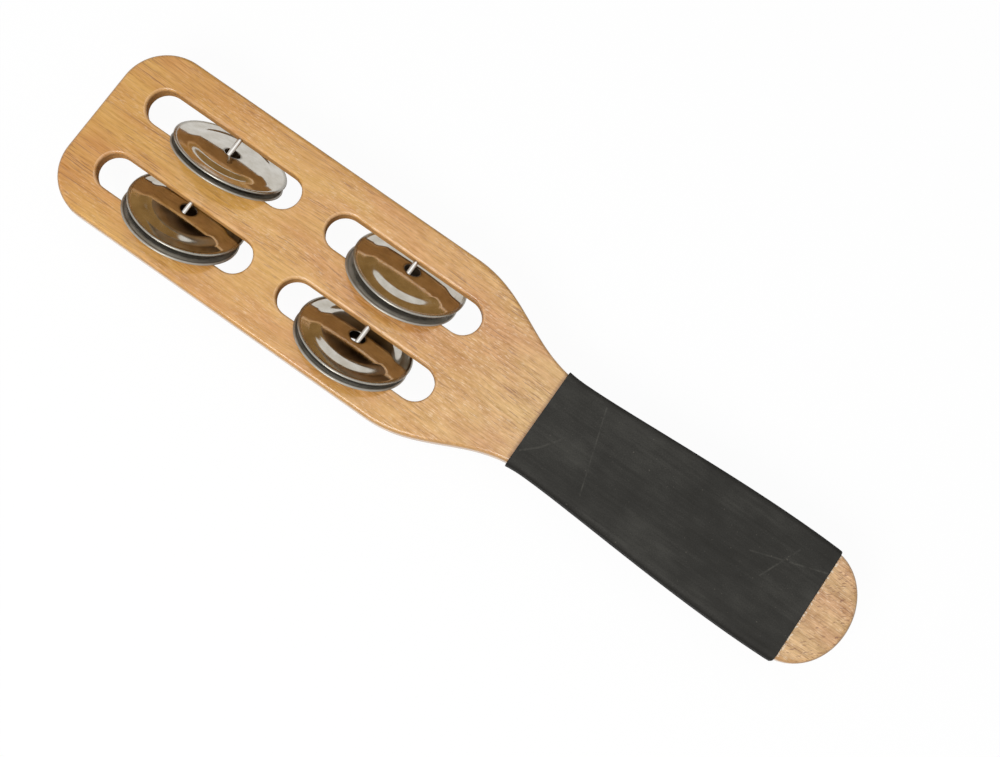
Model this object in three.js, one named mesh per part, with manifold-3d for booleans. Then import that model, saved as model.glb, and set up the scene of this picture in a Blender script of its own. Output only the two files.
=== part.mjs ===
// Jingle stick: a flat wooden paddle with two rows of slots, a pair of leaning jingles in
// every slot, a steel pin through each pair and a rubber sleeve on the handle.
// Millimetres. +X runs from the handle to the head, +Y to the left, +Z up from the table.
// The origin is the middle of the sleeve's underside.
import * as THREE from 'three';
import { mergeVertices, toCreasedNormals } from 'three/addons/utils/BufferGeometryUtils.js';
import Module from 'manifold-3d';

const wasm = await Module();
wasm.setup();

// Paddle
const THICKNESS = 6;
const EDGE_RADIUS = 1.5;
const HEAD_WIDTH = 63;
const HEAD_CORNER = 16.6;
const NECK_LENGTH = 51;
const NECK_EASE = 0.4;
const WAIST_WIDTH = 33.6;
const SWELL_WIDTH = 42.5;
const TAIL_WIDTH = 39.8;
const TAIL_LENGTH = 16.6;

// Slots
const SLOT_LENGTH = 59;
const SLOT_WIDTH = 12.7;
const SLOT_ARRIS = 0.7;
const STATION_PITCH = 71.1;
const ROW_PITCH = 26.3;
const NECK_TO_SLOT = 16.6;
const SLOT_TO_TIP = 41.1;

// Sleeve
const SLEEVE_LENGTH = 102.7;
const SLEEVE_WALL = 0.8;
const SLEEVE_GAP = 0.15;
const SLEEVE_FRONT_LAP = 6;
const BARE_TAIL = 14.6;

// Pins
const PIN_RADIUS = 0.85;
const PIN_GRIP = 5.5;
const PIN_GAP = 0.1;
const REAR_PIN_OFFSET = -0.6;
const FRONT_PIN_OFFSET = -1.6;

// Jingles
const JINGLE_RADIUS = 20;
const JINGLE_SHEET = 0.5;
const JINGLE_HOLE = 2.8;
const DOME_RADIUS = 11.6;
const DOME_BULGE = 0.25;
const STEP_RADIUS = 16.4;
const STEP_RISE = 0.8;
const BRIM_FALL = 0.15;
const RIM_BEAD = 0.42;
const HANG_GAP = 0.2;

// Where the jingles of each pair rest: lean in degrees from flat, place along the pin counted
// from the middle of the slot, and shift along the stick inside the loose hole
const PAIRS = [
  {
    name: 'front_left',
    station: 1,
    row: 1,
    upper: { lean: 42, place: -3.85, shift: -0.6 },
    lower: { lean: 45, place: 0, shift: -1.1 },
  },
  {
    name: 'front_right',
    station: 1,
    row: -1,
    upper: { lean: 53, place: -1.1, shift: -0.5 },
    lower: { lean: 55, place: 1.6, shift: -1 },
  },
  {
    name: 'rear_left',
    station: 0,
    row: 1,
    upper: { lean: 43.5, place: -1.6, shift: 1 },
    lower: { lean: 45, place: 1, shift: 0.9 },
  },
  {
    name: 'rear_right',
    station: 0,
    row: -1,
    upper: { lean: 42, place: -3.3, shift: -0.5 },
    lower: { lean: 45, place: 0.85, shift: -0.1 },
  },
];

// Places along the stick and the height of the paddle's middle plane
const SLEEVE_PROUD = SLEEVE_GAP + SLEEVE_WALL;
const MID_Z = SLEEVE_PROUD + THICKNESS / 2;
const SLEEVE_FRONT = SLEEVE_LENGTH / 2;
const SLEEVE_REAR = -SLEEVE_LENGTH / 2;
const TAIL_END = SLEEVE_REAR - BARE_TAIL;
const TAIL_START = TAIL_END + TAIL_LENGTH;
const WAIST_X = SLEEVE_FRONT - SLEEVE_FRONT_LAP;
const NECK_X = WAIST_X + NECK_LENGTH;
const REAR_STATION = NECK_X + NECK_TO_SLOT;
const HEAD_TIP = REAR_STATION + STATION_PITCH + SLOT_TO_TIP;

function stationX(pair) {
  return REAR_STATION + pair.station * STATION_PITCH;
}

function rowY(pair) {
  return pair.row * ROW_PITCH / 2;
}

function pinX(pair) {
  return stationX(pair) + (pair.station === 1 ? FRONT_PIN_OFFSET : REAR_PIN_OFFSET);
}

function toSolid(geometry) {
  const bare = geometry.clone();
  bare.deleteAttribute('normal');
  bare.deleteAttribute('uv');
  const merged = mergeVertices(bare, 1e-4);
  return new wasm.Manifold(new wasm.Mesh({
    numProp: 3,
    vertProperties: new Float32Array(merged.attributes.position.array),
    triVerts: new Uint32Array(merged.index.array),
  }));
}

function toGeometry(solid) {
  const mesh = solid.getMesh();
  const geometry = new THREE.BufferGeometry();
  geometry.setAttribute('position', new THREE.BufferAttribute(mesh.vertProperties, 3));
  geometry.setIndex(new THREE.BufferAttribute(mesh.triVerts, 1));
  return toCreasedNormals(geometry, Math.PI / 6);
}

// Left half of the paddle's outline from the head's tip to the end of the tail, moved
// outwards by grow
function halfOutline(grow) {
  const headHalf = HEAD_WIDTH / 2 + grow;
  const waistHalf = WAIST_WIDTH / 2 + grow;
  const swellHalf = SWELL_WIDTH / 2 + grow;
  const tailHalf = TAIL_WIDTH / 2 + grow;
  const corner = HEAD_CORNER + grow;
  const tip = HEAD_TIP + grow;
  const ease = NECK_LENGTH * NECK_EASE;
  const handle = WAIST_X - TAIL_START;
  const cornerArc = new THREE.EllipseCurve(tip - corner, headHalf - corner, corner, corner, 0, Math.PI / 2);
  const neck = new THREE.CubicBezierCurve(
    new THREE.Vector2(NECK_X, headHalf),
    new THREE.Vector2(NECK_X - ease, headHalf),
    new THREE.Vector2(WAIST_X + ease, waistHalf),
    new THREE.Vector2(WAIST_X, waistHalf),
  );
  const swell = new THREE.CubicBezierCurve(
    new THREE.Vector2(WAIST_X, waistHalf),
    new THREE.Vector2(WAIST_X - handle * 0.2, waistHalf),
    new THREE.Vector2(TAIL_START + handle * 0.36, swellHalf),
    new THREE.Vector2(TAIL_START, tailHalf),
  );
  const tail = new THREE.EllipseCurve(
    TAIL_START, 0, TAIL_LENGTH + grow, tailHalf, Math.PI / 2, Math.PI);
  return [
    ...cornerArc.getPoints(10),
    ...neck.getPoints(16),
    ...swell.getPoints(16).slice(1),
    ...tail.getPoints(14).slice(1, -1),
  ];
}

// Paddle-shaped slab with rounded long edges, grown all round by grow
function slab(grow) {
  const half = halfOutline(grow);
  const mirrored = half.map((p) => new THREE.Vector2(p.x, -p.y)).reverse();
  const shape = new THREE.Shape([
    ...half,
    new THREE.Vector2(TAIL_END - grow, 0),
    ...mirrored,
  ]);
  const radius = EDGE_RADIUS + grow;
  const thickness = THICKNESS + 2 * grow;
  const geometry = new THREE.ExtrudeGeometry(shape, {
    depth: thickness - 2 * radius,
    bevelThickness: radius,
    bevelSize: radius,
    bevelOffset: -radius,
    bevelSegments: 3,
  });
  geometry.translate(0, 0, MID_Z - thickness / 2 + radius);
  return toSolid(geometry);
}

function slotShape() {
  const end = SLOT_WIDTH / 2;
  const reach = SLOT_LENGTH / 2 - end;
  const shape = new THREE.Shape();
  shape.absarc(reach, 0, end, -Math.PI / 2, Math.PI / 2);
  shape.absarc(-reach, 0, end, Math.PI / 2, 3 * Math.PI / 2);
  return shape;
}

// Cutter for one slot: a straight wall, flared at both faces into a small arris
function slotCutter() {
  const wall = new THREE.ExtrudeGeometry(slotShape(), {
    depth: THICKNESS + 2,
    bevelEnabled: false,
    curveSegments: 12,
  });
  wall.translate(0, 0, -THICKNESS / 2 - 1);
  const flare = new THREE.ExtrudeGeometry(slotShape(), {
    depth: 1,
    bevelThickness: SLOT_ARRIS,
    bevelSize: SLOT_ARRIS,
    bevelSegments: 1,
    curveSegments: 12,
  });
  const top = flare.clone().translate(0, 0, THICKNESS / 2);
  const bottom = flare.clone().translate(0, 0, -THICKNESS / 2 - 1);
  return toSolid(wall).add(toSolid(top)).add(toSolid(bottom));
}

function pinGeometry(radius, extra) {
  return new THREE.CylinderGeometry(radius, radius, SLOT_WIDTH + 2 * (PIN_GRIP + extra), 20);
}

// How far the middle of a leaning jingle's hole hangs below the pin, with the hole's upper edge
// on the pin
function hang(tilt, shift) {
  const chord = Math.sqrt(JINGLE_HOLE ** 2 - shift ** 2);
  const edge = chord * Math.sin(tilt) - JINGLE_SHEET / 2 * Math.cos(tilt);
  return edge - PIN_RADIUS - HANG_GAP;
}

// Closed section of one jingle, from the hole out along the top and back underneath, with the
// crown of the dome at height 0
function jingleSection() {
  const half = JINGLE_SHEET / 2;
  const brim = -(STEP_RISE + DOME_BULGE);
  const rim = brim - BRIM_FALL;
  const rimCentre = JINGLE_RADIUS - RIM_BEAD;
  const line = [];
  for (let i = 0; i <= 3; i += 1) {
    const r = THREE.MathUtils.lerp(JINGLE_HOLE, DOME_RADIUS, i / 3);
    line.push([r, -DOME_BULGE * (r / DOME_RADIUS) ** 2]);
  }
  line.push([STEP_RADIUS, brim]);
  line.push([rimCentre - RIM_BEAD, rim]);
  const top = line.map(([r, z]) => new THREE.Vector2(r, z + half));
  const under = line.map(([r, z]) => new THREE.Vector2(r, z - half)).reverse();
  const bead = [];
  for (let i = 0; i <= 4; i += 1) {
    const angle = THREE.MathUtils.lerp(0.7, -0.7, i / 4) * Math.PI;
    bead.push(new THREE.Vector2(rimCentre + RIM_BEAD * Math.cos(angle), rim + RIM_BEAD * Math.sin(angle)));
  }
  return [...top, ...bead, ...under, top[0].clone()].reverse();
}

const wood = new THREE.MeshStandardMaterial({ color: 0xcf9f68, roughness: 0.45, metalness: 0 });
const rubber = new THREE.MeshStandardMaterial({ color: 0x33312f, roughness: 0.75, metalness: 0 });
const nickel = new THREE.MeshStandardMaterial({ color: 0xc8c6c2, roughness: 0.15, metalness: 1 });
const steel = new THREE.MeshStandardMaterial({ color: 0xd6d4d0, roughness: 0.2, metalness: 1 });

const group = new THREE.Group();
group.name = 'jingle_stick';

function addMesh(parent, name, geometry, material) {
  const mesh = new THREE.Mesh(geometry, material.clone());
  mesh.name = name;
  parent.add(mesh);
  return mesh;
}

let paddle = slab(0);
for (const pair of PAIRS) {
  const bore = toSolid(pinGeometry(PIN_RADIUS + PIN_GAP, PIN_GAP));
  paddle = paddle.subtract(slotCutter().translate([stationX(pair), rowY(pair), MID_Z]));
  paddle = paddle.subtract(bore.translate([pinX(pair), rowY(pair), MID_Z]));
}
addMesh(group, 'paddle', toGeometry(paddle), wood);

const span = new THREE.BoxGeometry(SLEEVE_LENGTH, SWELL_WIDTH * 2, THICKNESS * 3);
span.translate(0, 0, MID_Z);
const sleeve = slab(SLEEVE_PROUD).intersect(toSolid(span)).subtract(slab(SLEEVE_GAP));
addMesh(group, 'grip_sleeve', toGeometry(sleeve), rubber);

const section = jingleSection();
for (const pair of PAIRS) {
  const axle = new THREE.Group();
  axle.name = `${pair.name}_axle`;
  axle.position.set(pinX(pair), rowY(pair), MID_Z);
  group.add(axle);
  addMesh(axle, `${pair.name}_pin`, pinGeometry(PIN_RADIUS, 0), steel);
  for (const side of ['upper', 'lower']) {
    const { lean, place, shift } = pair[side];
    const disc = new THREE.LatheGeometry(section, 32).rotateX(Math.PI / 2);
    const jingle = addMesh(axle, `${pair.name}_jingle_${side}`, disc, nickel);
    const tilt = THREE.MathUtils.degToRad(lean);
    jingle.position.set(shift, place, -hang(tilt, shift));
    jingle.rotation.x = tilt;
  }
}

export default group;
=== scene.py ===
import math

import bpy
import numpy as np
from mathutils import Euler, Matrix, Vector
from mathutils.geometry import delaunay_2d_cdt


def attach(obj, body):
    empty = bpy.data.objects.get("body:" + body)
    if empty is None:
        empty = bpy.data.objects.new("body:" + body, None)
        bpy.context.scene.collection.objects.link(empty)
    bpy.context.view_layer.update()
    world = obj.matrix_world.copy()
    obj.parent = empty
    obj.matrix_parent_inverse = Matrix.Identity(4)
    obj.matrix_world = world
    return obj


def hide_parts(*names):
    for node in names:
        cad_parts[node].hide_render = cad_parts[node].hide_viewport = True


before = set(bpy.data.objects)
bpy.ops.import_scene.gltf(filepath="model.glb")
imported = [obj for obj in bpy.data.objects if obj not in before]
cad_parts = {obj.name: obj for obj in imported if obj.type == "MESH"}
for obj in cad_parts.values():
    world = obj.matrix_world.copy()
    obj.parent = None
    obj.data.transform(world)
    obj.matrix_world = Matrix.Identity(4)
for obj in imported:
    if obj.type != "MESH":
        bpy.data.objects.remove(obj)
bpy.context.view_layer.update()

# Jingle stick: a lacquered paddle, a rubber sleeve, four wire pins and eight leaning jingles.
# Sizes are in millimetres and as in the part's source, up to the stage, which is in metres.
MM = 0.001

# Paddle
THICKNESS = 6
EDGE_RADIUS = 1.5
HEAD_WIDTH = 63
HEAD_CORNER = 16.6
NECK_LENGTH = 51
NECK_EASE = 0.4
WAIST_WIDTH = 33.6
WAIST_PULL = 0.2
SWELL_WIDTH = 42.5
SWELL_PULL = 0.36
TAIL_WIDTH = 39.8
TAIL_LENGTH = 16.6

# Slots
SLOT_LENGTH = 59
SLOT_WIDTH = 12.7
STATION_PITCH = 71.1
ROW_PITCH = 26.3
NECK_TO_SLOT = 16.6
SLOT_TO_TIP = 41.1

# Sleeve
SLEEVE_LENGTH = 102.7
SLEEVE_WALL = 0.8
SLEEVE_GAP = 0.15
SLEEVE_FRONT_LAP = 6
BARE_TAIL = 14.6

# Pins, with their offset from the middle of the rear and the front slots
PIN_RADIUS = 0.85
PIN_GRIP = 5.5
BORE_GAP = 0.1
PIN_OFFSETS = (-0.6, -1.6)

# Jingles
JINGLE_RADIUS = 20
JINGLE_SHEET = 0.5
JINGLE_HOLE = 2.8
DOME_RADIUS = 11.6
DOME_BULGE = 0.25
STEP_RADIUS = 16.4
STEP_RISE = 0.8
BRIM_FALL = 0.15
RIM_BEAD = 0.42

# Forms that only the scene has: lips, chamfers and the width of the jingles' rolled rim
SLEEVE_LIP = 0.3
SLEEVE_INNER_LIP = 0.15
PIN_CHAMFER = 0.2
PIN_END_HOLE = 0.05
HOLE_CHAMFER = 0.12
RIM_ROLL = 0.62

# Worn slot edges and the jingles' polished skin, which keep the smooth surfaces clear of each other
SLOT_ARRIS = 0.95
JINGLE_POLISH = 0.05

# Steps of the round forms
CORNER_STEPS = 24
SIDE_STEPS = 24
NECK_STEPS = 40
SWELL_STEPS = 48
TAIL_STEPS = 36
EDGE_STEPS = 7
SLOT_STEPS = 20
ARRIS_STEPS = 4
BORE_STEPS = 24
SLEEVE_RINGS = 80
SLEEVE_CORNER_STEPS = 8
SLEEVE_FLAT_STEPS = 9
LIP_TURNS = (0, 30, 60, 90)
PIN_SIDES = 32
PIN_RINGS = 16
JINGLE_SIDES = 144
SECTION_POINTS = 60
BEAD_POINTS = 13
BEAD_TURN = 135

# Finishes of the paddle, the outer edge's with painted shade, and how many levels of its outer edge
# share the finish of the faces
FACE, WALL, ARRIS, SHADED_EDGE = range(4)
CROWN_LEVELS = 3

# Places along the stick and the height of the paddle's middle plane
SLEEVE_PROUD = SLEEVE_GAP + SLEEVE_WALL
MID_Z = SLEEVE_PROUD + THICKNESS / 2
SLEEVE_FRONT = SLEEVE_LENGTH / 2
SLEEVE_REAR = -SLEEVE_LENGTH / 2
TAIL_END = SLEEVE_REAR - BARE_TAIL
TAIL_START = TAIL_END + TAIL_LENGTH
WAIST_X = SLEEVE_FRONT - SLEEVE_FRONT_LAP
NECK_X = WAIST_X + NECK_LENGTH
REAR_STATION = NECK_X + NECK_TO_SLOT
HEAD_TIP = REAR_STATION + STATION_PITCH + SLOT_TO_TIP

# Station and row of each slot: 0 is the rear and 1 the front, 1 is left and -1 right
PAIRS = {
    "front_left": (1, 1),
    "front_right": (1, -1),
    "rear_left": (0, 1),
    "rear_right": (0, -1),
}

# Noise of each pattern: waves per millimetre along X, Y and Z, detail, roughness and shift
WOOD_NOISE = {
    "drift": ((0.011, 0.03, 0.03), 2.0, 0.5, 0.0),
    "patch": ((0.030, 0.10, 0.10), 3.0, 0.55, 2.0),
    "fibre": ((0.026, 0.8, 0.8), 5.0, 0.62, 3.1),
    "fine": ((0.13, 1.7, 1.7), 4.0, 0.65, 7.7),
    "dapple": ((0.24, 0.34, 0.34), 3.0, 0.6, 67.0),
    "streak": ((0.010, 1.5, 1.5), 3.0, 0.55, 19.0),
    "break": ((0.022, 0.09, 0.09), 3.0, 0.6, 71.0),
    "figure": ((0.03, 0.09, 0.09), 2.0, 0.5, 53.0),
    "pore": ((0.15, 2.8, 2.8), 3.0, 0.55, 13.0),
    "cluster": ((0.03, 0.06, 0.06), 2.0, 0.5, 31.0),
    "fleck_glint": ((0.42, 2.9, 2.9), 2.0, 0.6, 23.0),
    "nick": ((0.35, 1.4, 1.4), 2.0, 0.5, 41.0),
    "chip": ((1.5, 1.3, 1.3), 2.0, 0.5, 47.0),
    "tint": ((0.16, 0.4, 0.4), 3.0, 0.6, 61.0),
}
RUBBER_NOISE = {
    "mottle": ((0.05, 0.07, 0.07), 4.0, 0.6, 0.0),
    "grain": ((2.4, 2.4, 2.4), 3.0, 0.6, 5.0),
    "drag": ((0.05, 0.9, 0.9), 3.0, 0.6, 11.0),
    "wear": ((0.35, 0.35, 0.35), 3.0, 0.6, 17.0),
    "dust": ((1.1, 1.1, 1.1), 2.0, 0.5, 29.0),
}
NICKEL_NOISE = {
    "smudge": ((0.22, 0.22, 0.22), 4.0, 0.6, 0.0),
    "turned": ((5.0, 1.0, 1.0), 3.0, 0.7, 0.0),
    "tarnish": ((0.11, 0.11, 0.11), 3.0, 0.6, 37.0),
}
STEEL_NOISE = ((6.0, 0.12, 6.0), 3.0, 0.6, 0.0)
FLOOR_NOISE = ((0.004, 0.004, 0.004), 2.0, 0.5, 0.0)
CARD_NOISE = ((0.01, 0.01, 0.02), 2.0, 0.5, 0.0)

# How far the fibres wander across the stick, and the slant of the nicks at the tail
GRAIN_DRIFT = 7.0
NICK_SLANT = 0.8

# Where the long streaks set in towards the head, and the painted glints of pale flecks towards the neck
STREAK_START, STREAK_FULL = 120.0, 200.0
GLINT_START, GLINT_FULL = 190.0, 90.0

# Scratches on the sleeve's face: start, end and width
SCRATCHES = (
    ((35.3, -14.9), (26.7, 12.9), 0.35),
    ((50.1, 12.1), (45.5, 7.7), 0.5),
    ((45.5, 7.7), (41.6, 2.2), 0.5),
    ((-26.6, -3.7), (-51.0, -11.8), 0.4),
    ((-33.5, 1.0), (-39.6, -12.9), 0.4),
)

# Floor: half its side, its middle along X, and the share of plain white in how it is seen
FLOOR_REACH = 3.0
STAGE_X = 0.08
FLOOR_GLOW = 0.95

# Strength of the world for light on the object and for what is seen or mirrored
WORLD_LIGHT = 0.4
WORLD_SEEN = 1.0

# Lamps: name, place, size and power
LAMPS = (
    ("key", (0.12, 0.52, 0.68), 0.5, 4.8),
    ("fill", (0.10, -0.10, 1.0), 0.8, 1.7),
)

# Standing card, a painted reflection of a warm room: its place across, the ends of its low and tall
# parts along X, and their tops
CARD_Y = -0.20
LOW_CARD_X = (-0.10, 0.60)
TALL_CARD_X = (0.21, 0.33)
LOW_CARD_TOP = 0.055
TALL_CARD_TOP = 0.14
SHADE_CARD_LIFT = 0.0003

# Camera at the photograph's viewing angle
CAMERA_SENSOR = 36.0
CAMERA_LENS = 56.075
CAMERA_CLIP = 0.01
CAMERA_PLACE = (0.0390858, 0.0877047, 0.4911593)
CAMERA_TURN = (10.66029, -3.31162, -145.09155)


def srgb(*rgb):
    """Linear colour of an 8-bit screen colour."""
    return tuple(c / 3294.6 if c <= 10 else ((c / 255 + 0.055) / 1.055) ** 2.4 for c in rgb) + (1.0,)


# Wood from the tail to the head
WOOD_TONES = (
    (0.00, srgb(202, 159, 111)),
    (0.40, srgb(205, 162, 106)),
    (0.52, srgb(200, 149, 87)),
    (0.74, srgb(203, 151, 80)),
    (1.00, srgb(204, 151, 81)),
)
RUBBER_TONES = ((0.34, srgb(38, 37, 34)), (0.50, srgb(51, 50, 47)), (0.66, srgb(67, 66, 62)))
NICKEL_TONES = ((0.30, srgb(180, 174, 162)), (0.52, srgb(194, 189, 179)), (0.70, srgb(204, 200, 191)))
STEEL_TONES = ((0.32, srgb(176, 172, 166)), (0.68, srgb(214, 211, 206)))
FLOOR_TONES = ((0.2, srgb(248, 248, 248)), (0.8, srgb(252, 252, 252)))
# Glowing tones of the room card's painted reflection and the shade card's painted shade
ROOM_REFLECTION_TONES = ((0.3, srgb(150, 116, 68)), (0.7, srgb(174, 138, 86)))
SHADE_TONES = ((0.3, srgb(104, 78, 48)), (0.7, srgb(128, 98, 62)))

# Factors on the wood's colour in its dark and light patches, and the tints of its finer changes
DARK_PATCH = (0.93, 0.84, 0.83)
LIGHT_PATCH = (1.04, 1.09, 1.04)
DAPPLE_TINT = (1.0, 0.72, 0.46)
FIBRE_TINT = (1.0, 0.72, 0.42)


class Graph:
    """Node tree of one material, with short calls for the nodes used here."""

    def __init__(self, name):
        self.material = bpy.data.materials.new(name)
        self.material.use_nodes = True
        self.tree = self.material.node_tree
        self.tree.nodes.clear()
        self.output = self.tree.nodes.new("ShaderNodeOutputMaterial")

    def put(self, socket, value):
        if isinstance(value, bpy.types.NodeSocket):
            self.tree.links.new(value, socket)
        else:
            socket.default_value = value

    def node(self, kind, values, **settings):
        made = self.tree.nodes.new(kind)
        for key, value in settings.items():
            setattr(made, key, value)
        for key, value in values.items():
            self.put(made.inputs[key], value)
        return made

    def show(self, shader):
        self.tree.links.new(shader.outputs[0], self.output.inputs["Surface"])
        return self.material

    def math(self, operation, a, b=0.0, clamp=False):
        made = self.node("ShaderNodeMath", {0: a, 1: b}, operation=operation, use_clamp=clamp)
        return made.outputs[0]

    def plus(self, a, b):
        return self.math("ADD", a, b)

    def minus(self, a, b):
        return self.math("SUBTRACT", a, b)

    def times(self, a, b):
        return self.math("MULTIPLY", a, b)

    def apart(self, a, b):
        return self.math("ABSOLUTE", self.minus(a, b))

    def vector(self, operation, a, b=(0, 0, 0)):
        made = self.node("ShaderNodeVectorMath", {0: a, 1: b}, operation=operation)
        return made.outputs["Value" if operation in ("LENGTH", "DOT_PRODUCT") else "Vector"]

    def scaled(self, vector, factor):
        made = self.node("ShaderNodeVectorMath", {0: vector, "Scale": factor}, operation="SCALE")
        return made.outputs["Vector"]

    def split(self, vector):
        return self.node("ShaderNodeSeparateXYZ", {0: vector}).outputs

    def join(self, x, y, z):
        return self.node("ShaderNodeCombineXYZ", {0: x, 1: y, 2: z}).outputs[0]

    def millimetres(self):
        place = self.tree.nodes.new("ShaderNodeTexCoord").outputs["Object"]
        return self.scaled(place, 1 / MM)

    def facing(self):
        """Parts of the surface's normal in the piece's own frame."""
        return self.split(self.tree.nodes.new("ShaderNodeTexCoord").outputs["Normal"])

    def noise(self, place, stretch, detail, rough, shift):
        away = (shift, shift * 1.7, shift * 0.6)
        moved = self.node("ShaderNodeMapping", {"Vector": place, "Location": away, "Scale": stretch})
        values = {"Vector": moved.outputs[0], "Scale": 1.0, "Detail": detail, "Roughness": rough}
        return self.node("ShaderNodeTexNoise", values).outputs["Fac"]

    def span(self, value, low, high, out_low=0.0, out_high=1.0):
        values = {
            "Value": value,
            "From Min": low,
            "From Max": high,
            "To Min": out_low,
            "To Max": out_high,
        }
        return self.node("ShaderNodeMapRange", values).outputs[0]

    def ramp(self, value, stops):
        made = self.node("ShaderNodeValToRGB", {0: value})
        points = made.color_ramp.elements
        while len(points) < len(stops):
            points.new(0.5)
        for point, (position, colour) in zip(points, stops):
            point.position = position
            point.color = colour
        return made.outputs["Color"]

    def mix(self, factor, a, b):
        # Inputs 6 and 7 and output 2 are the node's colours
        made = self.node("ShaderNodeMix", {"Factor": factor}, data_type="RGBA")
        self.put(made.inputs[6], a)
        self.put(made.inputs[7], b)
        return made.outputs[2]

    def stain(self, body, mask, strength, colour):
        """The body's colour, with this colour over it where the mask is set."""
        return self.mix(self.times(mask, strength), body, colour)

    def stroke(self, flat, start, end, width):
        """1 on the straight mark from start to end, falling to 0 at width on both sides."""
        start = Vector((*start, 0))
        run = Vector((*end, 0)) - start
        away = self.vector("SUBTRACT", flat, tuple(start))
        reach = self.vector("DOT_PRODUCT", away, tuple(run))
        along = self.math("DIVIDE", reach, run.length_squared, clamp=True)
        gap = self.vector("LENGTH", self.vector("SUBTRACT", away, self.scaled(tuple(run), along)))
        return self.span(gap, 0.0, width, 1.0, 0.0)

    def bump(self, height, strength, depth):
        values = {"Height": height, "Strength": strength, "Distance": depth}
        return self.node("ShaderNodeBump", values).outputs[0]

    def surface(self, **values):
        """Principled shader, with its inputs named in lower case and underscores."""
        inputs = {}
        for key, value in values.items():
            inputs[key.replace("_", " ").title().replace("Ior", "IOR")] = value
        return self.show(self.node("ShaderNodeBsdfPrincipled", inputs))


def wood_material(name, tint=None, share=(0, 1), lacquered=True):
    """Wood with its grain along X, tinted where it is cut, where a worn arris carries a painted
    highlight and where the outer edge carries painted shade, and lacquered or raw.
    """
    g = Graph(name)
    place = g.millimetres()
    x, y, z = g.split(place)

    def noise(pattern, where):
        return g.noise(where, *WOOD_NOISE[pattern])

    drift = g.times(g.minus(noise("drift", place), 0.5), GRAIN_DRIFT)
    grain = g.join(x, g.plus(y, drift), z)

    # Colour along the stick, in patches, dapples and fibres
    body = g.ramp(g.span(x, TAIL_END, HEAD_TIP), WOOD_TONES)
    patch = g.span(noise("patch", grain), 0.36, 0.64)
    body = g.mix(patch, g.vector("MULTIPLY", body, DARK_PATCH), g.vector("MULTIPLY", body, LIGHT_PATCH))
    dapple = g.span(noise("dapple", place), 0.34, 0.66, -0.09, 0.09)
    dapple = g.times(dapple, g.span(x, HEAD_TIP, TAIL_END))
    body = g.vector("ADD", body, g.scaled(DAPPLE_TINT, dapple))
    fibre = noise("fibre", grain)
    fine = noise("fine", grain)
    tone = g.plus(g.times(fibre, 0.45), g.times(fine, 0.55))
    contrast = g.span(x, TAIL_END, HEAD_TIP, 0.23, 0.12)
    tone = g.times(g.span(tone, 0.30, 0.70, -1.0, 1.0), contrast)
    body = g.vector("ADD", body, g.scaled(FIBRE_TINT, tone))

    # Long broken streaks, most of them near the head
    streak = g.span(noise("streak", grain), 0.57, 0.68)
    near_head = g.span(x, STREAK_START, STREAK_FULL)
    streak = g.times(streak, g.plus(g.times(near_head, 0.60), 0.20))
    streak = g.times(streak, g.span(noise("break", grain), 0.42, 0.58, 0.25, 1.0))
    body = g.mix(streak, body, srgb(132, 84, 46))

    # Dark pores, and pale flecks that are painted glints of the grain's sparkle
    figure = g.span(noise("figure", grain), 0.38, 0.60)
    pore = g.span(noise("pore", grain), 0.55, 0.66)
    pore = g.times(pore, g.plus(g.times(figure, 0.7), 0.3))
    body = g.stain(body, pore, 0.72, srgb(136, 88, 56))
    cluster = g.span(noise("cluster", place), 0.40, 0.62)
    near_neck = g.span(x, GLINT_START, GLINT_FULL)
    fleck_glint = g.span(noise("fleck_glint", grain), 0.55, 0.68)
    fleck_glint = g.times(fleck_glint, g.plus(g.times(cluster, 0.6), g.times(near_neck, 0.4)))
    # Painted glints: pale flecks laid over the grain
    body = g.stain(body, fleck_glint, 0.55, srgb(246, 220, 186))

    # Slanting nicks on the tail, a glue stain with painted shade at the sleeve's front and chipped
    # lacquer at its rear
    skew = g.join(g.plus(x, g.times(y, NICK_SLANT)), g.minus(y, g.times(x, NICK_SLANT)), z)
    nick = g.span(noise("nick", skew), 0.60, 0.68)
    nick = g.times(nick, g.span(x, SLEEVE_REAR + 2, SLEEVE_REAR - 3))
    body = g.stain(body, nick, 0.75, srgb(130, 84, 54))
    # Glue stain and painted shade: a dark band on the wood at the sleeve's front
    sleeve_stain_and_shade = g.span(g.apart(x, SLEEVE_FRONT), 1.3, 0.2)
    body = g.stain(body, sleeve_stain_and_shade, 0.55, srgb(104, 58, 36))
    chip = g.span(g.apart(x, SLEEVE_REAR - 0.3), 0.7, 0.3)
    chip = g.times(chip, g.span(noise("chip", place), 0.52, 0.60))
    body = g.stain(body, chip, 0.7, srgb(236, 224, 204))

    # Tint of a cut surface, of a worn arris with a painted highlight and of the outer edge as painted
    # shade, and dark end grain
    if tint is not None:
        body = g.mix(g.span(noise("tint", place), 0.35, 0.60, *share), body, tint)
    end_grain = g.span(g.math("ABSOLUTE", g.facing()[0]), 0.35, 0.95)
    body = g.stain(body, end_grain, 0.45, srgb(112, 74, 44))

    relief = g.minus(g.plus(g.times(fine, 0.6), g.times(fleck_glint, 0.3)), pore)
    if not lacquered:
        return g.surface(
            base_color=body,
            roughness=g.span(fibre, 0.3, 0.7, 0.70, 0.90),
            specular_ior_level=0.04,
            normal=g.bump(relief, 0.40, 0.0003),
        )
    return g.surface(
        base_color=body,
        roughness=g.span(fibre, 0.3, 0.7, 0.40, 0.55),
        specular_ior_level=0.05,
        coat_weight=0.95,
        coat_roughness=0.14,
        normal=g.bump(relief, 0.25, 0.0002),
    )


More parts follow.
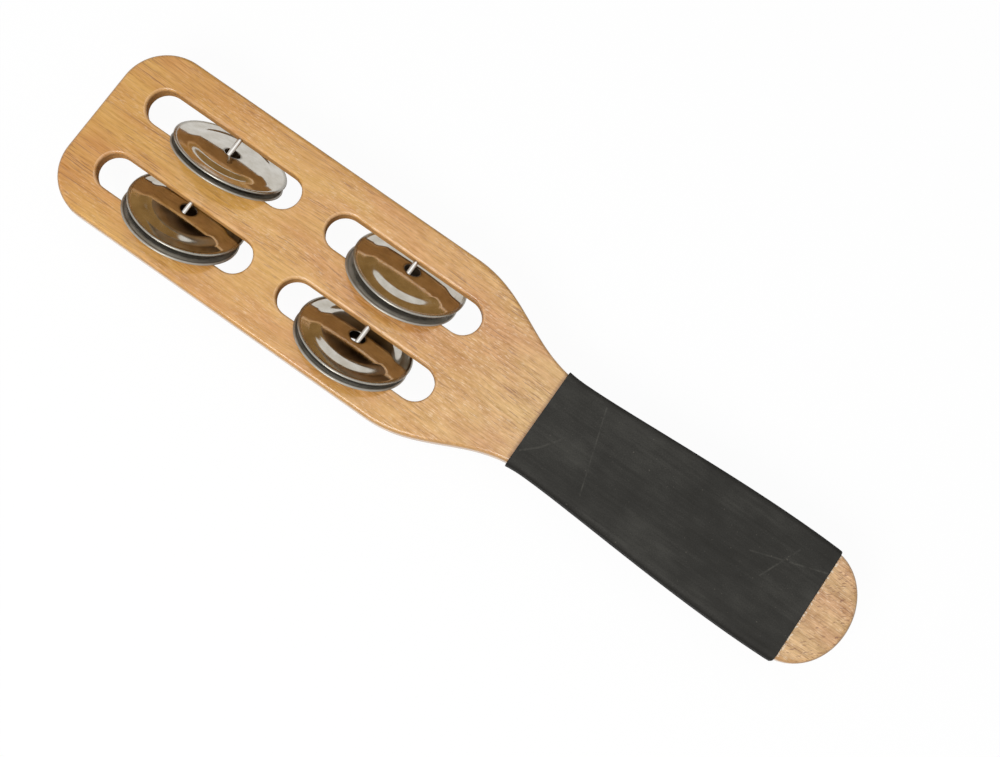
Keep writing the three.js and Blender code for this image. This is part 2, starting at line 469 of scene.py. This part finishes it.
def rubber_material():
    """Dull black rubber, mottled, dusty and scratched, with painted shade darkening its sides."""
    g = Graph("black_rubber")
    place = g.millimetres()
    x, y, z = g.split(place)
    noise = {pattern: g.noise(place, *values) for pattern, values in RUBBER_NOISE.items()}
    tone = g.plus(g.times(noise["grain"], 0.3), g.times(noise["drag"], 0.2))
    tone = g.plus(g.times(noise["mottle"], 0.5), tone)
    body = g.ramp(tone, RUBBER_TONES)
    # Painted shade: the sleeve's sides are darker than its faces
    side = g.span(g.apart(z, MID_Z), THICKNESS / 2 + SLEEVE_PROUD - 0.1, THICKNESS / 2 - 0.4)
    body = g.stain(body, side, 0.85, srgb(22, 20, 17))
    flat = g.join(x, y, 0.0)
    scratch = 0.0
    for start, end, width in SCRATCHES:
        scratch = g.math("MAXIMUM", g.stroke(flat, start, end, width), scratch)
    scratch = g.times(scratch, g.span(noise["wear"], 0.36, 0.62))
    scratch = g.times(scratch, g.span(z, MID_Z, MID_Z + 1.0))
    body = g.stain(body, scratch, 0.22, srgb(120, 118, 110))
    body = g.stain(body, g.span(noise["dust"], 0.70, 0.78), 0.25, srgb(140, 134, 122))
    return g.surface(
        base_color=body,
        roughness=g.span(tone, 0.3, 0.7, 0.62, 0.80),
        specular_ior_level=0.10,
        normal=g.bump(g.plus(noise["grain"], noise["drag"]), 0.18, 0.00012),
    )


def nickel_material(name, metal, soot_and_shade_reach, soot_and_shade_depth, scuffed):
    """Nickel plate, dark round the hole with soot and, on a lower disc, painted shade from its partner
    above, dull underneath and greyer on the rim.
    """
    g = Graph(name)
    place = g.millimetres()
    x, y, _ = g.split(place)
    radius = g.vector("LENGTH", g.join(x, y, 0.0))
    smudge = g.noise(place, *NICKEL_NOISE["smudge"])
    turned = g.noise(g.join(radius, 0.0, 0.0), *NICKEL_NOISE["turned"])
    tarnish = g.span(g.noise(place, *NICKEL_NOISE["tarnish"]), 0.48, 0.68)
    # Soot round the hole, widened on the lower disc into painted shade under its partner
    soot_and_shade = g.span(radius, JINGLE_HOLE + soot_and_shade_reach, JINGLE_HOLE + soot_and_shade_reach * 0.4)
    rim = g.span(radius, JINGLE_RADIUS - 2 * RIM_ROLL - 0.2, JINGLE_RADIUS - RIM_ROLL)
    body = g.ramp(smudge, NICKEL_TONES)
    body = g.stain(body, tarnish, 0.14, srgb(150, 128, 96))
    body = g.stain(body, soot_and_shade, soot_and_shade_depth, srgb(52, 38, 26))
    # Darker grey over the rolled rim
    body = g.stain(body, rim, 0.55, srgb(126, 124, 118))
    rough = g.plus(g.span(smudge, 0.35, 0.68, 0.045, 0.11), g.times(turned, 0.03))
    rough = g.plus(rough, g.span(g.facing()[2], 0.1, -0.3, 0.0, 0.35))
    brim = g.span(radius, STEP_RADIUS, STEP_RADIUS + 1.5, 0.0, scuffed)
    rough = g.plus(rough, g.math("MAXIMUM", g.times(rim, 0.20), brim))
    return g.surface(
        base_color=body,
        metallic=metal,
        roughness=rough,
        normal=g.bump(g.plus(turned, smudge), 0.05, 0.00005),
    )


def steel_material():
    """Bright wire with drawing marks along it."""
    g = Graph("drawn_steel")
    drawn = g.noise(g.millimetres(), *STEEL_NOISE)
    return g.surface(
        base_color=g.ramp(drawn, STEEL_TONES),
        metallic=1.0,
        roughness=g.span(drawn, 0.3, 0.7, 0.14, 0.30),
        normal=g.bump(drawn, 0.08, 0.00003),
    )


def seen_directly(tree):
    """1 for camera, mirror and glass rays, 0 for the rays that carry light on to the object."""
    path = tree.nodes.new("ShaderNodeLightPath")
    either = path.outputs["Is Camera Ray"]
    for name in ("Is Glossy Ray", "Is Transmission Ray"):
        joined = tree.nodes.new("ShaderNodeMath")
        joined.operation = "MAXIMUM"
        tree.links.new(either, joined.inputs[0])
        tree.links.new(path.outputs[name], joined.inputs[1])
        either = joined.outputs[0]
    return either


def floor_material():
    """Pale paper, seen and mirrored as nearly plain white."""
    g = Graph("studio_floor")
    tint = g.noise(g.millimetres(), *FLOOR_NOISE)
    paper = g.node("ShaderNodeBsdfDiffuse", {"Color": g.ramp(tint, FLOOR_TONES)})
    glow = g.node("ShaderNodeEmission", {"Color": (1, 1, 1, 1), "Strength": 1.0})
    share = g.times(seen_directly(g.tree), FLOOR_GLOW)
    return g.show(g.node("ShaderNodeMixShader", {0: share, 1: paper.outputs[0], 2: glow.outputs[0]}))


def card_material(name, tones):
    """Even glow between two tones."""
    g = Graph(name)
    tint = g.noise(g.millimetres(), *CARD_NOISE)
    return g.show(g.node("ShaderNodeEmission", {"Color": g.ramp(tint, tones)}))


def add_object(name, data):
    made = bpy.data.objects.new(name, data)
    bpy.context.scene.collection.objects.link(made)
    return made


def add_piece(
    name, points, faces, materials, body, replaced, normals=None, place=None, finish=None,
):
    """One piece from points in millimetres, riding on its body in place of a CAD node."""
    mesh = bpy.data.meshes.new(name)
    mesh.from_pydata([tuple(MM * c for c in p) for p in points], [], faces)
    mesh.polygons.foreach_set("use_smooth", [True] * len(mesh.polygons))
    mesh.update()
    mesh.validate()
    if normals is not None:
        mesh.normals_split_custom_set_from_vertices([tuple(n) for n in normals])
    for material in materials:
        mesh.materials.append(material)
    if finish is not None:
        mesh.polygons.foreach_set("material_index", finish)
    piece = add_object(name, mesh)
    if place is not None:
        piece.matrix_world = place
    bpy.context.view_layer.update()
    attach(piece, body)
    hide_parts(replaced)


def bezier(a, b, c, d, steps):
    t = np.linspace(0, 1, steps + 1)[:, None]
    a, b, c, d = (np.array(p, float) for p in (a, b, c, d))
    return a * (1 - t) ** 3 + 3 * b * t * (1 - t) ** 2 + 3 * c * t ** 2 * (1 - t) + d * t ** 3


def arc(cx, cy, rx, ry, start, end, steps):
    t = np.radians(np.linspace(start, end, steps + 1))
    return np.column_stack([cx + rx * np.cos(t), cy + ry * np.sin(t)])


def half_outline():
    """Left half of the paddle's outline, from the head's tip to the end of the tail."""
    head = HEAD_WIDTH / 2
    waist = WAIST_WIDTH / 2
    ease = NECK_LENGTH * NECK_EASE
    handle = WAIST_X - TAIL_START
    straight = HEAD_TIP - HEAD_CORNER
    corner = arc(straight, head - HEAD_CORNER, HEAD_CORNER, HEAD_CORNER, 0, 90, CORNER_STEPS)
    along = np.linspace(straight, NECK_X, SIDE_STEPS + 1)
    side = np.column_stack([along, np.full(SIDE_STEPS + 1, head)])
    neck = bezier(
        (NECK_X, head),
        (NECK_X - ease, head),
        (WAIST_X + ease, waist),
        (WAIST_X, waist),
        NECK_STEPS,
    )
    swell = bezier(
        (WAIST_X, waist),
        (WAIST_X - handle * WAIST_PULL, waist),
        (TAIL_START + handle * SWELL_PULL, SWELL_WIDTH / 2),
        (TAIL_START, TAIL_WIDTH / 2),
        SWELL_STEPS,
    )
    tail = arc(TAIL_START, 0, TAIL_LENGTH, TAIL_WIDTH / 2, 90, 180, TAIL_STEPS)
    return np.vstack([corner, side[1:], neck[1:], swell[1:], tail[1:]])


def outward(ring):
    """Unit normals of a closed ring that runs anticlockwise."""
    along = np.roll(ring, -1, 0) - ring
    edge = np.column_stack([along[:, 1], -along[:, 0]])
    edge /= np.linalg.norm(edge, axis=1, keepdims=True)
    both = edge + np.roll(edge, 1, 0)
    return both / np.linalg.norm(both, axis=1, keepdims=True)


def inside(point, ring):
    """Whether a point lies inside a closed ring."""
    after = np.roll(ring, -1, 0)
    crosses = (ring[:, 1] > point[1]) != (after[:, 1] > point[1])
    rise = np.where(crosses, after[:, 1] - ring[:, 1], 1)
    reach = (after[:, 0] - ring[:, 0]) * (point[1] - ring[:, 1]) / rise + ring[:, 0]
    return np.count_nonzero(crosses & (point[0] < reach)) % 2 == 1


def filled(outer, holes):
    """Triangles, anticlockwise, between an outer ring and the rings of its holes."""
    rings = [outer, *holes]
    flat = np.vstack(rings)
    edges = []
    first = 0
    for ring in rings:
        count = len(ring)
        edges += [(first + i, first + (i + 1) % count) for i in range(count)]
        first += count
    _, _, faces, origins, _, _ = delaunay_2d_cdt([Vector(p) for p in flat], edges, [], 0, 1e-6)
    triangles = []
    for face in faces:
        corners = [origins[v][0] for v in face]
        a, b, c = flat[corners]
        middle = (a + b + c) / 3
        if inside(middle, outer) and not any(inside(middle, hole) for hole in holes):
            turn = (b[0] - a[0]) * (c[1] - a[1]) - (b[1] - a[1]) * (c[0] - a[0])
            triangles.append(corners if turn > 0 else corners[::-1])
    return triangles


class Shell:
    """Points, normals, faces and finishes of a mesh while it is put together."""

    def __init__(self):
        self.points = []
        self.normals = []
        self.faces = []
        self.finish = []

    def paint(self, index):
        """Gives the finish with this index to the faces made since the last call."""
        self.finish += [index] * (len(self.faces) - len(self.finish))

    def add(self, points, normals):
        first = len(self.points)
        self.points += [tuple(p) for p in points]
        self.normals += [tuple(n) for n in normals]
        return list(range(first, len(self.points)))

    def face(self, corners, forward=True):
        self.faces.append(tuple(corners) if forward else tuple(corners[::-1]))

    def band(self, upper, lower):
        count = len(upper)
        for i in range(count):
            j = (i + 1) % count
            self.face((upper[i], lower[i], lower[j], upper[j]))

    def fill(self, outer, holes, index, forward):
        for triangle in filled(outer, holes):
            self.face([index[corner] for corner in triangle], forward)


def stadium(cx, cy, grow):
    """Outline of a slot that is larger by grow all round, anticlockwise."""
    end = SLOT_WIDTH / 2 + grow
    reach = (SLOT_LENGTH - SLOT_WIDTH) / 2
    return np.vstack([
        arc(cx + reach, cy, end, end, -90, 90, SLOT_STEPS),
        arc(cx - reach, cy, end, end, 90, 270, SLOT_STEPS),
    ])


def edge_profile(radius, steps):
    """Steps of a rounded edge from the top face to the bottom: inset, height, outward and up parts."""
    top = []
    for t in np.radians(np.linspace(90, 0, steps + 1)):
        out, up = math.cos(t), math.sin(t)
        top.append((radius * (1 - out), THICKNESS / 2 - radius * (1 - up), out, up))
    return top + [(inset, -height, out, -up) for inset, height, out, up in reversed(top)]


def bored_wall(shell, upper, lower, pin_x, side):
    """Straight wall of a slot, left where side is 1 and right at -1, with a blind bore for the pin."""
    radius = PIN_RADIUS + BORE_GAP
    turns = np.radians(np.arange(BORE_STEPS) * 360 / BORE_STEPS)
    circle = np.column_stack([pin_x + radius * np.cos(turns), MID_Z + radius * np.sin(turns)])
    corners = [lower[0], lower[1], upper[1], upper[0]]
    if shell.points[lower[1]][0] < shell.points[lower[0]][0]:
        corners = [lower[1], lower[0], upper[0], upper[1]]
    rect = np.array([(shell.points[i][0], shell.points[i][2]) for i in corners])
    y = shell.points[corners[0]][1]
    bottom = y + side * (PIN_GRIP + BORE_GAP)
    flat = [(0, -side, 0)] * BORE_STEPS
    inner = [(-math.cos(t), 0, -math.sin(t)) for t in turns]
    mouth = shell.add([(px, y, pz) for px, pz in circle], flat)
    near = shell.add([(px, y, pz) for px, pz in circle], inner)
    deep = shell.add([(px, bottom, pz) for px, pz in circle], inner)
    end = shell.add([(px, bottom, pz) for px, pz in circle], flat)
    shell.fill(rect, [circle], corners + mouth, side > 0)
    for i in range(BORE_STEPS):
        j = (i + 1) % BORE_STEPS
        shell.face((near[i], near[j], deep[j], deep[i]), side > 0)
    shell.face(end, side > 0)


def add_edge(shell):
    """Rounded outer edge of the paddle. Returns its highest and lowest ring."""
    half = half_outline()
    ring = np.vstack([half, (half * (1, -1))[::-1][1:]])
    away = outward(ring)
    levels = []
    for inset, height, out, up in edge_profile(EDGE_RADIUS, EDGE_STEPS):
        points = [(px, py, MID_Z + height) for px, py in ring - away * inset]
        levels.append(shell.add(points, [(nx * out, ny * out, up) for nx, ny in away]))
    bands = list(zip(levels, levels[1:]))
    for number, (upper, lower) in enumerate(bands):
        shell.band(upper, lower)
        # Levels below the crown get the outer edge's painted shade
        shell.paint(SHADED_EDGE if CROWN_LEVELS <= number < len(bands) - CROWN_LEVELS else FACE)
    return levels[0], levels[-1]


def add_slot(shell, station, row):
    """Walls and broken edges of one slot. Returns its highest and lowest ring."""
    cx = REAR_STATION + station * STATION_PITCH
    cy = row * ROW_PITCH / 2
    away = outward(stadium(cx, cy, 0))
    levels = []
    for inset, height, out, up in edge_profile(SLOT_ARRIS, ARRIS_STEPS):
        points = [(px, py, MID_Z + height) for px, py in stadium(cx, cy, inset)]
        levels.append(shell.add(points, [(-nx * out, -ny * out, up) for nx, ny in away]))
    count = len(away)
    straight_sides = {SLOT_STEPS: 1, count - 1: -1}
    for number, (upper, lower) in enumerate(zip(levels, levels[1:])):
        is_wall = number == ARRIS_STEPS
        for i in range(count):
            j = (i + 1) % count
            if is_wall and i in straight_sides:
                pin_x = cx + PIN_OFFSETS[station]
                bored_wall(shell, (upper[i], upper[j]), (lower[i], lower[j]), pin_x, straight_sides[i])
            else:
                shell.face((upper[i], upper[j], lower[j], lower[i]))
        shell.paint(WALL if is_wall else ARRIS)
    return levels[0], levels[-1]


def make_paddle():
    shell = Shell()
    rings = [add_edge(shell)] + [add_slot(shell, station, row) for station, row in PAIRS.values()]
    for side, is_top in enumerate((True, False)):
        outlines = [np.array([shell.points[i][:2] for i in ring[side]]) for ring in rings]
        index = [i for ring in rings for i in ring[side]]
        shell.fill(outlines[0], outlines[1:], index, is_top)
    shell.paint(FACE)
    woods = {
        FACE: wood_material("lacquered_wood"),
        WALL: wood_material("cut_wood", srgb(178, 132, 82), (0.70, 0.90), lacquered=False),
        # Edge wear and a painted highlight: the slots' arris is tinted pale
        ARRIS: wood_material("worn_highlight_wood", srgb(230, 190, 148), (0.0, 0.40)),
        # Painted shade: the outer edge below its crown is tinted darker
        SHADED_EDGE: wood_material("shaded_edge_wood", srgb(172, 130, 80), (0.40, 0.75)),
    }
    add_piece(
        "paddle_wood", shell.points, shell.faces, woods.values(), "stick", "paddle",
        normals=shell.normals, finish=shell.finish,
    )


def round_box(half_width, half_height, radius):
    """Closed section of a rounded bar, anticlockwise seen from the front, with its normals."""
    points = []
    normals = []
    across = half_width - radius
    up = half_height - radius
    for sy, sz, start in ((1, 1, 0), (-1, 1, 90), (-1, -1, 180), (1, -1, 270)):
        for t in np.radians(np.linspace(start, start + 90, SLEEVE_CORNER_STEPS + 1)):
            points.append((sy * across + radius * math.cos(t), sz * up + radius * math.sin(t)))
            normals.append((math.cos(t), math.sin(t)))
        if sz == sy:
            edge = np.linspace(sy * across, -sy * across, SLEEVE_FLAT_STEPS + 2)[1:-1]
            points += [(e, sz * half_height) for e in edge]
            normals += [(0, sz)] * SLEEVE_FLAT_STEPS
    return points, normals


def outer_lip(end, sign, turns):
    """Stations of the sleeve's outer lip: X, height over the wood, outward and lengthwise parts."""
    return [
        (
            end - sign * SLEEVE_LIP * (1 - math.sin(t)),
            SLEEVE_PROUD - SLEEVE_LIP * (1 - math.cos(t)),
            math.cos(t),
            sign * math.sin(t),
        )
        for t in turns
    ]


def inner_lip(end, sign, turns):
    """Stations of the sleeve's inner lip: X, height over the wood, outward and lengthwise parts."""
    return [
        (
            end - sign * SLEEVE_INNER_LIP * (1 - math.cos(t)),
            SLEEVE_GAP + SLEEVE_INNER_LIP * (1 - math.sin(t)),
            -math.sin(t),
            sign * math.cos(t),
        )
        for t in turns
    ]


def make_sleeve():
    half = half_outline()
    half = half[np.argsort(half[:, 0])]
    half = half[np.concatenate([[True], np.diff(half[:, 0]) > 1e-6])]
    turns = np.radians(LIP_TURNS)
    along = np.linspace(SLEEVE_REAR + SLEEVE_LIP, SLEEVE_FRONT - SLEEVE_LIP, SLEEVE_RINGS)
    stations = [(x, SLEEVE_PROUD, 1, 0) for x in along]
    stations += outer_lip(SLEEVE_FRONT, 1, turns[1:])
    stations += inner_lip(SLEEVE_FRONT, 1, turns)
    stations += [(x, SLEEVE_GAP, -1, 0) for x in along[::-1]]
    stations += inner_lip(SLEEVE_REAR, -1, turns[::-1])
    stations += outer_lip(SLEEVE_REAR, -1, turns[:0:-1])
    shell = Shell()
    rings = []
    for x, proud, out, lengthwise in stations:
        width = np.interp(x, half[:, 0], half[:, 1])
        section, normals = round_box(width + proud, THICKNESS / 2 + proud, EDGE_RADIUS + proud)
        points = [(x, py, MID_Z + pz) for py, pz in section]
        rings.append(shell.add(points, [(lengthwise, ny * out, nz * out) for ny, nz in normals]))
    for ring, after in zip(rings, rings[1:] + rings[:1]):
        shell.band(after, ring)
    add_piece(
        "grip_rubber", shell.points, shell.faces, [rubber_material()], "stick", "grip_sleeve",
        normals=shell.normals,
    )


def lathe(profile, steps):
    """Closed surface of revolution about Z from a closed profile of (radius, height)."""
    points = []
    for t in np.arange(steps) * 2 * math.pi / steps:
        points += [(r * math.cos(t), r * math.sin(t), h) for r, h in profile]
    count = len(profile)
    faces = []
    for i in range(steps):
        j = (i + 1) % steps
        for k in range(count):
            m = (k + 1) % count
            faces.append((i * count + k, j * count + k, j * count + m, i * count + m))
    return points, faces


def make_pins():
    reach = SLOT_WIDTH / 2 + PIN_GRIP
    shank = reach - PIN_CHAMFER
    profile = [(PIN_END_HOLE, -reach), (PIN_RADIUS - PIN_CHAMFER, -reach)]
    profile += [(PIN_RADIUS, h) for h in np.linspace(-shank, shank, PIN_RINGS)]
    profile += [(PIN_RADIUS - PIN_CHAMFER, reach), (PIN_END_HOLE, reach)]
    points, faces = lathe(profile, PIN_SIDES)
    steel = steel_material()
    for name, (station, row) in PAIRS.items():
        x = REAR_STATION + station * STATION_PITCH + PIN_OFFSETS[station]
        y = row * ROW_PITCH / 2
        laid = [(px + x, pz + y, MID_Z - py) for px, py, pz in points]
        add_piece(f"{name}_wire_pin", laid, faces, [steel], "stick", f"{name}_pin")


def jingle_profile():
    """Closed section of a jingle, from the hole out along the top and back underneath."""
    half = JINGLE_SHEET / 2 - JINGLE_POLISH
    rim = JINGLE_RADIUS - RIM_ROLL
    brim_end = rim - RIM_ROLL
    low = -(STEP_RISE + DOME_BULGE + BRIM_FALL)
    line = []
    for r in np.linspace(JINGLE_HOLE + HOLE_CHAMFER, brim_end, SECTION_POINTS):
        dome = -DOME_BULGE * min(r / DOME_RADIUS, 1) ** 2
        step = min(max((r - DOME_RADIUS) / (STEP_RADIUS - DOME_RADIUS), 0), 1)
        fall = max((r - STEP_RADIUS) / (brim_end - STEP_RADIUS), 0)
        line.append((r, dome - STEP_RISE * step * step * (3 - 2 * step) - BRIM_FALL * fall))
    wide = RIM_ROLL - JINGLE_POLISH
    tall = RIM_BEAD - JINGLE_POLISH
    turns = np.radians(np.linspace(BEAD_TURN, -BEAD_TURN, BEAD_POINTS))
    bead = [(rim + wide * math.cos(t), low + tall * math.sin(t)) for t in turns]
    top = [(r, h + half) for r, h in line]
    under = [(r, h - half) for r, h in reversed(line)]
    hole = [(JINGLE_HOLE, HOLE_CHAMFER - half), (JINGLE_HOLE, half - HOLE_CHAMFER)]
    return (top + bead + under + hole)[::-1]


def disc_place(node):
    """Frame of a jingle's CAD node: origin in its hole, Z along the dome's axis."""
    spots = np.array([v.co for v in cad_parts[node].data.vertices])
    away = spots - spots.mean(0)
    _, _, axes = np.linalg.svd(away, full_matrices=False)
    axis = axes[2] * (1 if axes[2][2] > 0 else -1)
    radial = np.linalg.norm(away - np.outer(away @ axis, axis), axis=1)
    hole = spots[radial < radial.min() + 0.1 * MM]
    z = Vector(axis).normalized()
    y = z.cross(Vector((1, 0, 0))).normalized()
    x = y.cross(z)
    return Matrix.Translation(Vector(hole.mean(0))) @ Matrix((x, y, z)).transposed().to_4x4()


def make_jingles():
    points, faces = lathe(jingle_profile(), JINGLE_SIDES)
    finish = {
        "upper": nickel_material(
            "bright_nickel", metal=1.0, soot_and_shade_reach=0.8, soot_and_shade_depth=0.5, scuffed=0.0,
        ),
        # The lower disc's wide dark ring is painted shade under the upper disc
        "lower": nickel_material(
            "sooted_shaded_nickel", metal=0.88, soot_and_shade_reach=12.0, soot_and_shade_depth=0.95, scuffed=0.30,
        ),
    }
    for name in PAIRS:
        for side, nickel in finish.items():
            node = f"{name}_jingle_{side}"
            add_piece(
                f"{name}_disc_{side}", points, faces, [nickel], node, node,
                place=disc_place(node),
            )


def add_sheet(name, corners, faces, material):
    mesh = bpy.data.meshes.new(name)
    mesh.from_pydata(corners, [], faces)
    mesh.materials.append(material)
    return add_object(name, mesh)


def rectangle(xs, ys):
    return [(xs[0], ys[0]), (xs[1], ys[0]), (xs[1], ys[1]), (xs[0], ys[1])]


def add_cards(low):
    """Glowing warm cards that only mirror rays see: a painted reflection of the room beside the stick,
    and painted shade under its head.
    """
    outline = rectangle(LOW_CARD_X, (low, LOW_CARD_TOP))
    outline += rectangle(TALL_CARD_X, (LOW_CARD_TOP, TALL_CARD_TOP))
    standing = [(x, CARD_Y, z) for x, z in outline]
    half = HEAD_WIDTH / 2 * MM
    under = rectangle((NECK_X * MM, HEAD_TIP * MM), (-half, half))
    lying = [(x, y, low + SHADE_CARD_LIFT) for x, y in under]
    cards = (("room_reflection_card", standing, ROOM_REFLECTION_TONES), ("shade_card", lying, SHADE_TONES))
    for name, corners, tones in cards:
        faces = [range(i, i + 4) for i in range(0, len(corners), 4)]
        card = add_sheet(name, corners, faces, card_material(name, tones))
        card.visible_camera = False
        card.visible_diffuse = False
        card.visible_shadow = False


def add_world():
    world = bpy.data.worlds.new("studio")
    bpy.context.scene.world = world
    world.use_nodes = True
    tree = world.node_tree
    back = tree.nodes["Background"]
    back.inputs["Color"].default_value = (1, 1, 1, 1)
    level = tree.nodes.new("ShaderNodeMapRange")
    level.inputs["To Min"].default_value = WORLD_LIGHT
    level.inputs["To Max"].default_value = WORLD_SEEN
    tree.links.new(seen_directly(tree), level.inputs["Value"])
    tree.links.new(level.outputs[0], back.inputs["Strength"])


def add_lamp(name, place, size, power):
    data = bpy.data.lights.new(name, "AREA")
    data.shape = "DISK"
    data.size = size
    data.energy = power
    lamp = add_object(name, data)
    lamp.location = place
    aim = Vector((STAGE_X, 0, 0)) - Vector(place)
    lamp.rotation_euler = aim.to_track_quat("-Z", "Y").to_euler()


def set_stage():
    # The floor lies where the lowest point of an upright jingle hangs, so that no pose sinks into it
    low = (MID_Z - JINGLE_RADIUS - (JINGLE_HOLE - PIN_RADIUS)) * MM
    span = (-FLOOR_REACH, FLOOR_REACH)
    corners = [(x, y, 0) for x, y in rectangle(span, span)]
    floor = add_sheet("floor", corners, [range(4)], floor_material())
    floor.location = (STAGE_X, 0, low)
    add_world()
    add_cards(low)
    for lamp in LAMPS:
        add_lamp(*lamp)


def set_camera():
    data = bpy.data.cameras.new("camera")
    data.sensor_fit = "HORIZONTAL"
    data.sensor_width = CAMERA_SENSOR
    data.lens = CAMERA_LENS
    data.clip_start = CAMERA_CLIP
    camera = add_object("camera", data)
    camera.location = CAMERA_PLACE
    camera.rotation_euler = Euler([math.radians(a) for a in CAMERA_TURN], "XYZ")
    bpy.context.scene.camera = camera


make_paddle()
make_sleeve()
make_pins()
make_jingles()
set_stage()
set_camera()
bpy.context.scene.view_settings.view_transform = "Standard"
